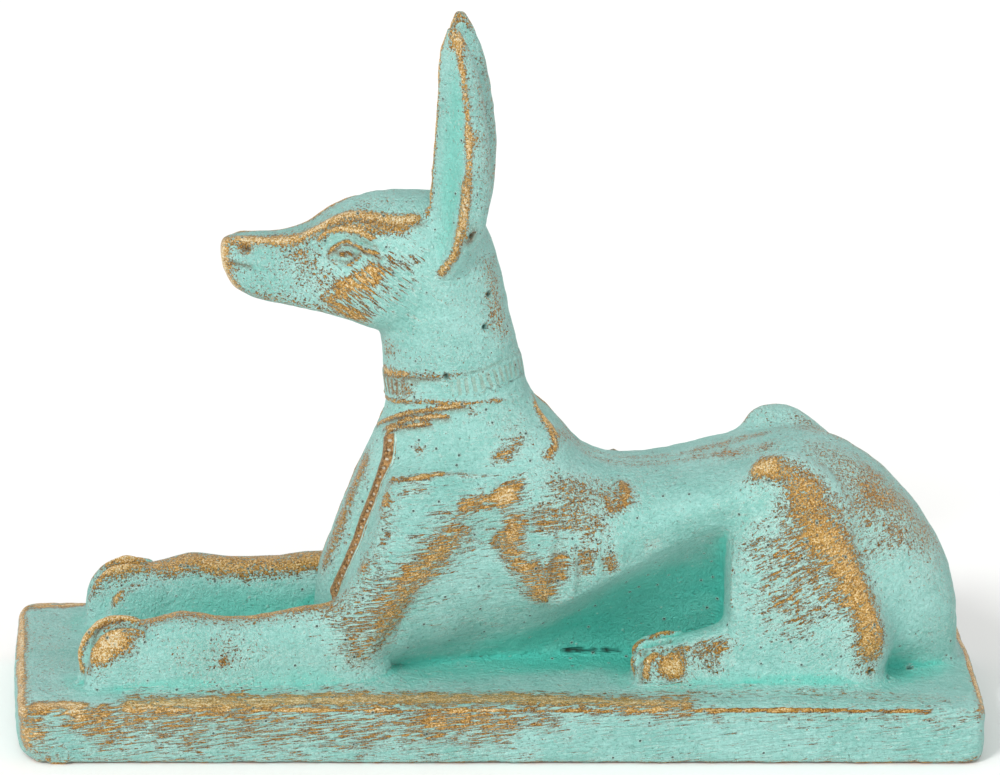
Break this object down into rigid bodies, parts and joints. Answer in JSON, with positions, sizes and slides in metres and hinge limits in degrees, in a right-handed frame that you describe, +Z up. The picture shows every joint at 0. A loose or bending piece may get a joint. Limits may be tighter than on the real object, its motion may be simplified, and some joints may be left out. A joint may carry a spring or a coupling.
{
  "type": "anubis jackal figure",
  "caption": "Small jackal lying with its head raised on a low rectangular plinth, cast in one, with tall ears, a collar and forelegs stretched out.",
  "frame": {"origin": "middle of the plinth's underside", "axes": "+Z up, +X along the plinth from the muzzle towards the rump, Y across; the muzzle points along -X"},
  "size_m": [0.09, 0.033, 0.0673],
  "materials": {
    "patinated_casting": "matt mint patina paint over bronze colour on cast resin, rubbed through to the bronze on edges and high places"
  },
  "bodies": {
    "root": {"jackal_figure": "patinated_casting"}
  },
  "joints": []
}
